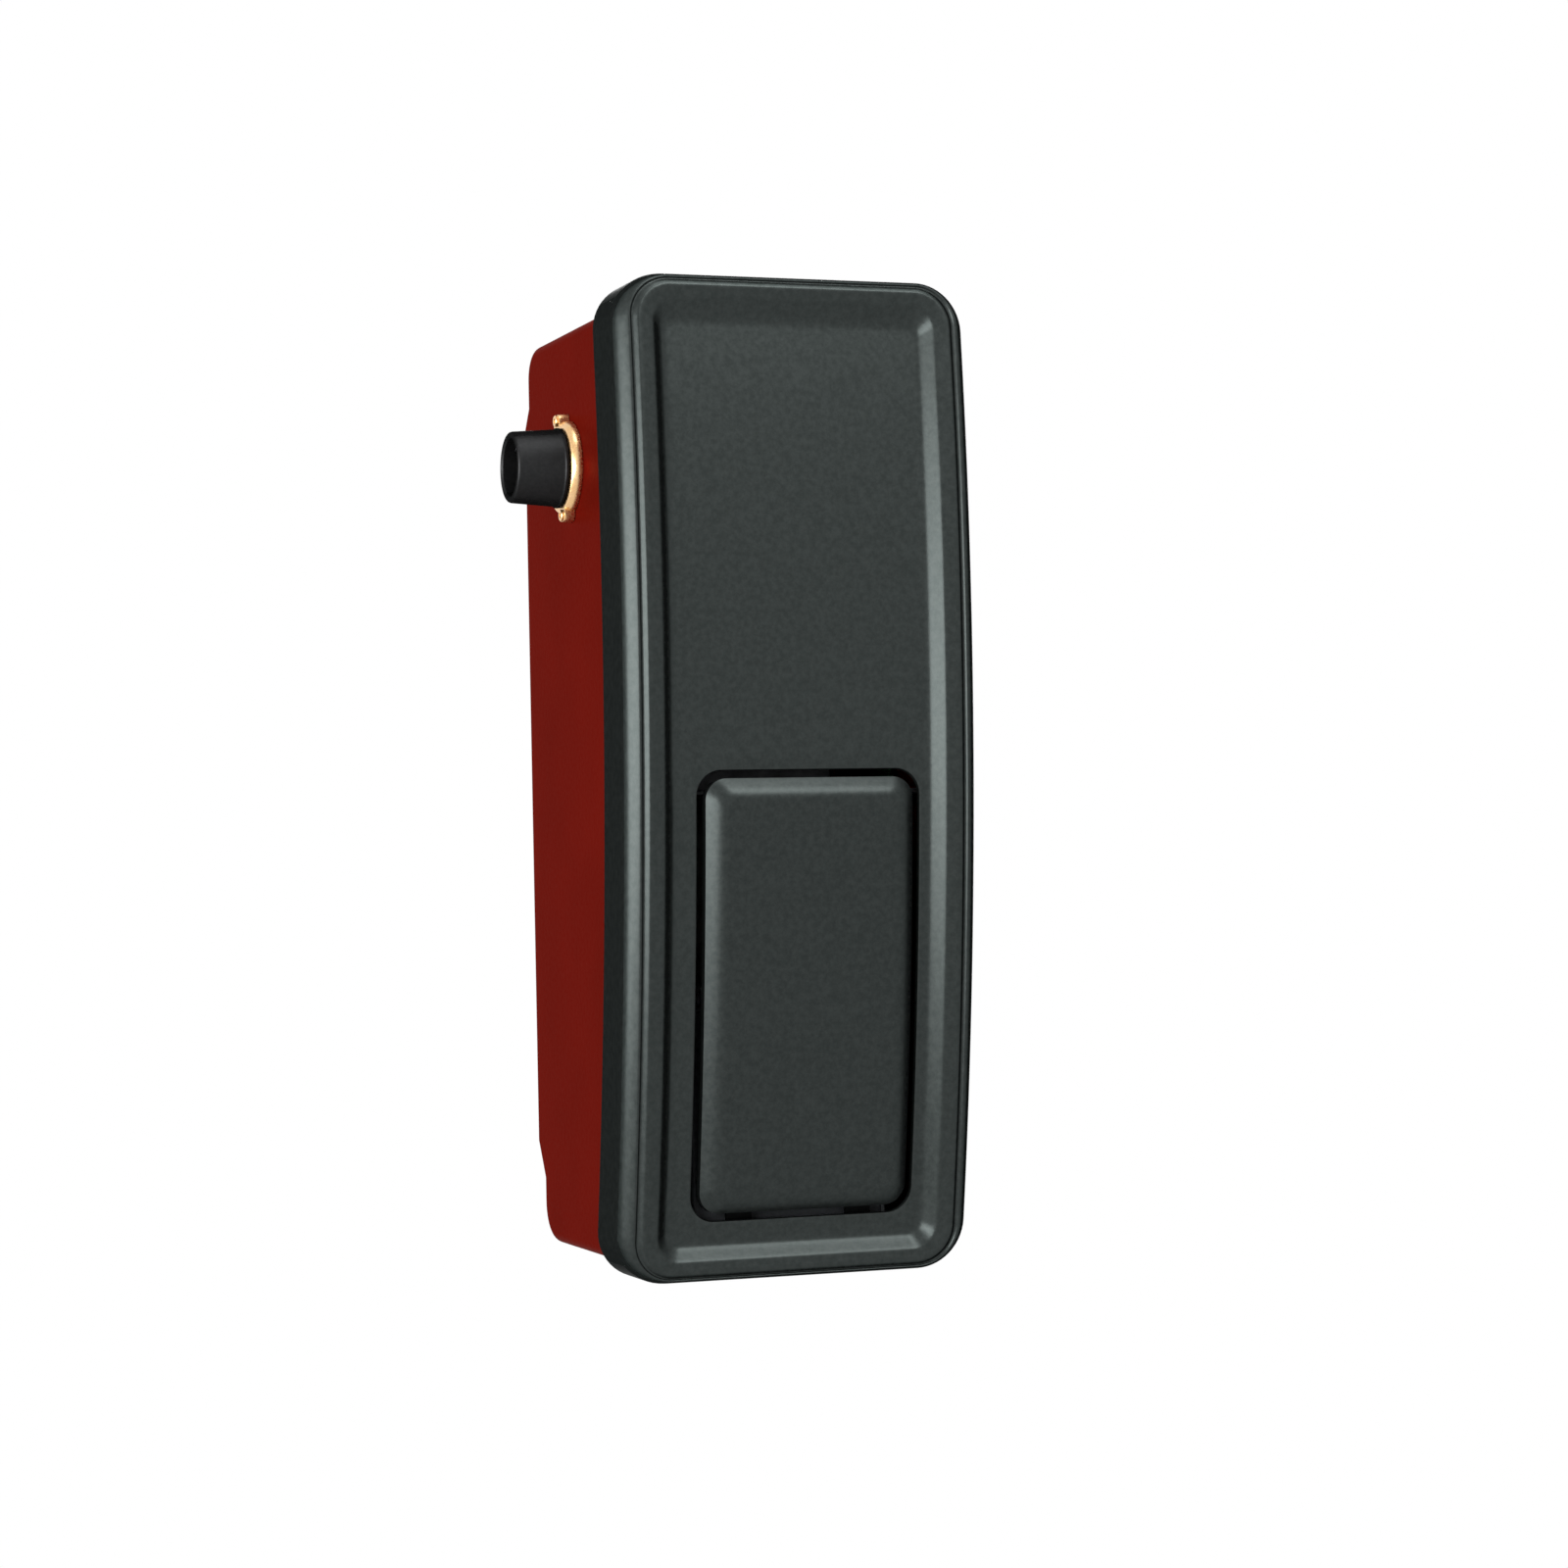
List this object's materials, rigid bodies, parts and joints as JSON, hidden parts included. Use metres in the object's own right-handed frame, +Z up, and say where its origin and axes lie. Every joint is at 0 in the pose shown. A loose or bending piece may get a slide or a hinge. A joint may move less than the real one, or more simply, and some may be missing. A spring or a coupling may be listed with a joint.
{
  "type": "garage door opener",
  "caption": "Wall-side opener for an overhead garage door: tall bowed black cover with a battery door, red housing behind it, hollow driven shaft with a collar for the torsion bar.",
  "frame": {"origin": "on the axis of the output shaft, midway between the two sides of the housing", "axes": "+X along the torsion bar away from the collar, +Y to the wall, +Z up"},
  "size_m": [0.1924, 0.1694, 0.44],
  "materials": {
    "black_plastic": "finely textured black",
    "red_paint": "satin red paint",
    "black_steel": "black oxide",
    "yellow_zinc": "yellow zinc plating",
    "zinc_steel": "bright zinc plating",
    "cast_aluminium": "as cast",
    "bronze": "turned bronze",
    "wheel_bronze": "cut bronze",
    "motor_steel": "drawn steel",
    "cap_plastic": "moulded black",
    "board_green": "green solder resist",
    "part_blue": "glossy blue",
    "core_steel": "stacked sheet steel",
    "coil_yellow": "yellow tape",
    "battery_grey": "moulded dark grey",
    "galvanised": "galvanised sheet",
    "panel_grey": "fine matt dark grey",
    "button_black": "matt black",
    "button_yellow": "matt yellow",
    "lamp_green": "clear green",
    "terminal_white": "moulded off-white",
    "rubber_black": "matt rubber"
  },
  "bodies": {
    "housing": {"rear_housing": "red_paint", "front_cover": "black_plastic", "cover_screw_1": "zinc_steel", "cover_screw_2": "zinc_steel", "cover_screw_3": "zinc_steel", "cover_screw_4": "zinc_steel", "retainer_left": "yellow_zinc", "retainer_screw_left_1": "yellow_zinc", "retainer_screw_left_2": "yellow_zinc", "bearing_block_left": "cast_aluminium", "bearing_bush_left": "bronze", "retainer_right": "yellow_zinc", "retainer_screw_right_1": "yellow_zinc", "retainer_screw_right_2": "yellow_zinc", "bearing_block_right": "cast_aluminium", "bearing_bush_right": "bronze", "fork_pin": "zinc_steel", "rod_spring": "zinc_steel", "lever_pin": "zinc_steel", "gear_bracket": "cast_aluminium", "worm_bush_upper": "bronze", "worm_bush_lower": "bronze", "motor_can": "motor_steel", "motor_end_cap": "cap_plastic", "motor_screw_1": "zinc_steel", "motor_screw_2": "zinc_steel", "travel_sensor": "cap_plastic", "board_carrier": "cap_plastic", "logic_board": "board_green", "relay": "part_blue", "capacitor": "part_blue", "transformer_core": "core_steel", "transformer_coil": "coil_yellow", "battery_tray": "galvanised", "battery": "battery_grey", "battery_terminal_left": "zinc_steel", "battery_terminal_right": "zinc_steel", "control_panel": "panel_grey", "button_board": "board_green", "status_lamp": "lamp_green", "terminal_block": "terminal_white", "cord_gland": "rubber_black"},
    "output_shaft": {"output_shaft": "black_steel", "shaft_collar": "black_steel", "set_screw_1": "black_steel", "set_screw_2": "black_steel", "sensor_gear": "cap_plastic"},
    "wheel": {"worm_wheel": "wheel_bronze"},
    "clutch": {"clutch_ring": "zinc_steel"},
    "fork": {"shift_fork": "zinc_steel"},
    "rod": {"release_rod": "zinc_steel"},
    "lever": {"release_lever": "zinc_steel"},
    "rotor": {"worm_shaft": "zinc_steel", "rotor_core": "core_steel"},
    "sensor": {"sensor_pinion": "terminal_white"},
    "door": {"battery_door": "black_plastic"},
    "up_button": {"up_button": "button_black"},
    "learn_button": {"learn_button": "button_yellow"},
    "down_button": {"down_button": "button_black"}
  },
  "joints": [
    {"name": "output_turn", "type": "hinge", "parent": "housing", "child": "output_shaft", "pos_m": [0, 0, 0], "axis": [1, 0, 0], "continuous": true},
    {"name": "wheel_turn", "type": "hinge", "parent": "housing", "child": "wheel", "pos_m": [0, 0, 0], "axis": [1, 0, 0], "continuous": true},
    {"name": "motor_turn", "type": "hinge", "parent": "housing", "child": "rotor", "pos_m": [0.01, 0.043, 0], "axis": [0, 0, 1], "continuous": true},
    {"name": "sensor_turn", "type": "hinge", "parent": "housing", "child": "sensor", "pos_m": [0.05, -0.02376, -0.02376], "axis": [1, 0, 0], "continuous": true},
    {"name": "lever_pull", "type": "hinge", "parent": "housing", "child": "lever", "pos_m": [-0.0486, 0.02796, -0.34], "axis": [0, 1, 0], "range_deg": [0, 15], "stiffness_Nm_per_rad": 1.5, "springref_deg": -5.73},
    {"name": "rod_slide", "type": "slide", "parent": "housing", "child": "rod", "axis": [0, 0, -1], "range_m": [0, 0.0032], "deforming": ["rod_spring"]},
    {"name": "fork_swing", "type": "hinge", "parent": "housing", "child": "fork", "pos_m": [-0.0146, 0, -0.038], "axis": [0, -1, 0], "range_deg": [0, 8.3]},
    {"name": "clutch_slide", "type": "slide", "parent": "output_shaft", "child": "clutch", "axis": [-1, 0, 0], "range_m": [0, 0.0055]},
    {"name": "door_tilt", "type": "hinge", "parent": "housing", "child": "door", "pos_m": [0, -0.0626, -0.3328], "axis": [1, 0, 0], "range_deg": [0, 70]},
    {"name": "up_press", "type": "slide", "parent": "housing", "child": "up_button", "axis": [-1, 0, 0], "range_m": [0, 0.0012], "stiffness_N_per_m": 300, "springref_m": -0.001},
    {"name": "learn_press", "type": "slide", "parent": "housing", "child": "learn_button", "axis": [-1, 0, 0], "range_m": [0, 0.0012], "stiffness_N_per_m": 300, "springref_m": -0.001},
    {"name": "down_press", "type": "slide", "parent": "housing", "child": "down_button", "axis": [-1, 0, 0], "range_m": [0, 0.0012], "stiffness_N_per_m": 300, "springref_m": -0.001}
  ],
  "couplings": [
    {"joint": "wheel_turn", "follows": "output_turn", "ratio": 1},
    {"joint": "motor_turn", "follows": "output_turn", "ratio": -34},
    {"joint": "sensor_turn", "follows": "output_turn", "ratio": -2.5},
    {"joint": "rod_slide", "follows": "lever_pull", "m_per_rad": 0.012},
    {"joint": "fork_swing", "follows": "lever_pull", "ratio": 0.54546},
    {"joint": "clutch_slide", "follows": "lever_pull", "m_per_rad": 0.020727}
  ]
}
